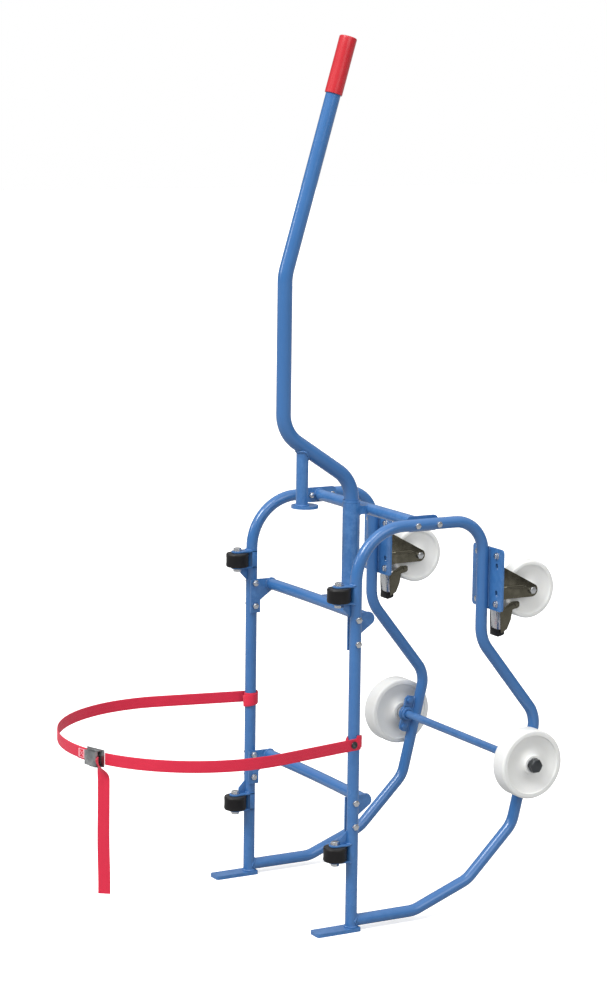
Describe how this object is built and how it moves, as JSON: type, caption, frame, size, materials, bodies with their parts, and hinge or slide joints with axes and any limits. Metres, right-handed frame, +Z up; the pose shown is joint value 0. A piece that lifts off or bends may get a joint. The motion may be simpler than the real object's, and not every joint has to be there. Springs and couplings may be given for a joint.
{
  "type": "drum dolly",
  "caption": "Tubular steel dolly that cradles an upright drum on toe plates and rollers, with rim hook, strap, swivelling handle, axle wheels and rear casters.",
  "frame": {"origin": "on the floor under the middle of the whole dolly's box, strap closed", "axes": "+Z up, +X across the dolly, +Y back from the drum towards the wheels"},
  "size_m": [0.6162, 1.0299, 1.8589],
  "materials": {
    "blue_enamel": "glossy enamel over welded tube",
    "red_grip": "satin soft vinyl sleeve",
    "red_webbing": "woven polyester webbing with stitching",
    "zinc_plate": "bright zinc plate",
    "yellow_zinc": "olive-bronze passivated zinc on pressed steel",
    "dark_steel": "blackened steel",
    "white_polyamide": "satin off-white moulded polyamide",
    "black_rubber": "matt black rubber"
  },
  "bodies": {
    "frame": {"side_frame_right": "blue_enamel", "side_frame_left": "blue_enamel", "toe_plate_right": "blue_enamel", "toe_plate_left": "blue_enamel", "caster_mount_right": "blue_enamel", "caster_mount_left": "blue_enamel", "axle_bracket_right": "blue_enamel", "axle_bracket_left": "blue_enamel", "crossbar_lower": "blue_enamel", "crossbar_upper": "blue_enamel", "crossbar_top": "blue_enamel", "mast_sleeve": "blue_enamel", "main_axle": "blue_enamel", "roller_bracket_upper_right": "blue_enamel", "roller_bracket_upper_left": "blue_enamel", "roller_bracket_lower_right": "blue_enamel", "roller_bracket_lower_left": "blue_enamel", "roller_bolt_upper_right": "zinc_plate", "roller_bolt_upper_left": "zinc_plate", "roller_bolt_lower_right": "zinc_plate", "roller_bolt_lower_left": "zinc_plate", "crossbar_bolt_upper_right_1": "zinc_plate", "crossbar_bolt_upper_right_2": "zinc_plate", "crossbar_bolt_upper_left_1": "zinc_plate", "crossbar_bolt_upper_left_2": "zinc_plate", "crossbar_bolt_lower_right_1": "zinc_plate", "crossbar_bolt_lower_right_2": "zinc_plate", "crossbar_bolt_lower_left_1": "zinc_plate", "crossbar_bolt_lower_left_2": "zinc_plate", "caster_top_plate_right": "zinc_plate", "caster_top_plate_left": "zinc_plate", "wheel_bush_right": "zinc_plate", "wheel_bush_left": "zinc_plate", "axle_nut_right": "dark_steel", "axle_nut_left": "dark_steel", "strap_right": "red_webbing", "strap_left": "red_webbing", "strap_tail": "red_webbing", "buckle_frame": "zinc_plate", "buckle_pin": "zinc_plate"},
    "guide": {"guide_bush": "blue_enamel"},
    "handle": {"handle_tube": "blue_enamel", "hook_post": "blue_enamel", "hook_plate": "blue_enamel", "handle_grip": "red_grip"},
    "buckle_lever": {"buckle_lever": "zinc_plate"},
    "main_wheel_right": {"main_wheel_right": "white_polyamide"},
    "caster_fork_right": {"caster_fork_right": "yellow_zinc", "caster_axle_right": "zinc_plate"},
    "caster_wheel_right": {"caster_wheel_right": "white_polyamide"},
    "caster_brake_right": {"caster_brake_right": "zinc_plate"},
    "roller_upper_right": {"roller_upper_right": "black_rubber"},
    "roller_lower_right": {"roller_lower_right": "black_rubber"},
    "main_wheel_left": {"main_wheel_left": "white_polyamide"},
    "caster_fork_left": {"caster_fork_left": "yellow_zinc", "caster_axle_left": "zinc_plate"},
    "caster_wheel_left": {"caster_wheel_left": "white_polyamide"},
    "caster_brake_left": {"caster_brake_left": "zinc_plate"},
    "roller_upper_left": {"roller_upper_left": "black_rubber"},
    "roller_lower_left": {"roller_lower_left": "black_rubber"}
  },
  "joints": [
    {"name": "handle_swivel", "type": "hinge", "parent": "frame", "child": "guide", "pos_m": [0, 0.152, 0.87], "axis": [0, 0, 1], "range_deg": [-75, 75]},
    {"name": "handle_lift", "type": "slide", "parent": "guide", "child": "handle", "axis": [0, 0, 1], "range_m": [0, 0.1]},
    {"name": "buckle_lever_tilt", "type": "hinge", "parent": "frame", "child": "buckle_lever", "pos_m": [0.1053, -0.5005, 0.405], "axis": [0, 0, 1], "range_deg": [0, 60], "stiffness_Nm_per_rad": 0.1, "springref_deg": -11.46},
    {"name": "main_wheel_right_spin", "type": "hinge", "parent": "frame", "child": "main_wheel_right", "pos_m": [0.2705, 0.44, 0.325], "axis": [1, 0, 0], "continuous": true},
    {"name": "caster_right_swivel", "type": "hinge", "parent": "frame", "child": "caster_fork_right", "pos_m": [0.228, 0.3699, 0.729], "axis": [0, 1, 0], "continuous": true},
    {"name": "caster_right_spin", "type": "hinge", "parent": "caster_fork_right", "child": "caster_wheel_right", "pos_m": [0.228, 0.4521, 0.698], "axis": [1, 0, 0], "continuous": true},
    {"name": "caster_right_brake", "type": "hinge", "parent": "caster_fork_right", "child": "caster_brake_right", "pos_m": [0.228, 0.4176, 0.669], "axis": [1, 0, 0], "range_deg": [0, 15]},
    {"name": "roller_upper_right_spin", "type": "hinge", "parent": "frame", "child": "roller_upper_right", "pos_m": [0.2235, -0.0054, 0.72], "axis": [0, 0, 1], "continuous": true},
    {"name": "roller_lower_right_spin", "type": "hinge", "parent": "frame", "child": "roller_lower_right", "pos_m": [0.2235, -0.0054, 0.17], "axis": [0, 0, 1], "continuous": true},
    {"name": "main_wheel_left_spin", "type": "hinge", "parent": "frame", "child": "main_wheel_left", "pos_m": [-0.2705, 0.44, 0.325], "axis": [1, 0, 0], "continuous": true},
    {"name": "caster_left_swivel", "type": "hinge", "parent": "frame", "child": "caster_fork_left", "pos_m": [-0.228, 0.3699, 0.729], "axis": [0, 1, 0], "continuous": true},
    {"name": "caster_left_spin", "type": "hinge", "parent": "caster_fork_left", "child": "caster_wheel_left", "pos_m": [-0.228, 0.4521, 0.698], "axis": [1, 0, 0], "continuous": true},
    {"name": "caster_left_brake", "type": "hinge", "parent": "caster_fork_left", "child": "caster_brake_left", "pos_m": [-0.228, 0.4176, 0.669], "axis": [1, 0, 0], "range_deg": [0, 15]},
    {"name": "roller_upper_left_spin", "type": "hinge", "parent": "frame", "child": "roller_upper_left", "pos_m": [-0.2235, -0.0054, 0.72], "axis": [0, 0, 1], "continuous": true},
    {"name": "roller_lower_left_spin", "type": "hinge", "parent": "frame", "child": "roller_lower_left", "pos_m": [-0.2235, -0.0054, 0.17], "axis": [0, 0, 1], "continuous": true}
  ]
}
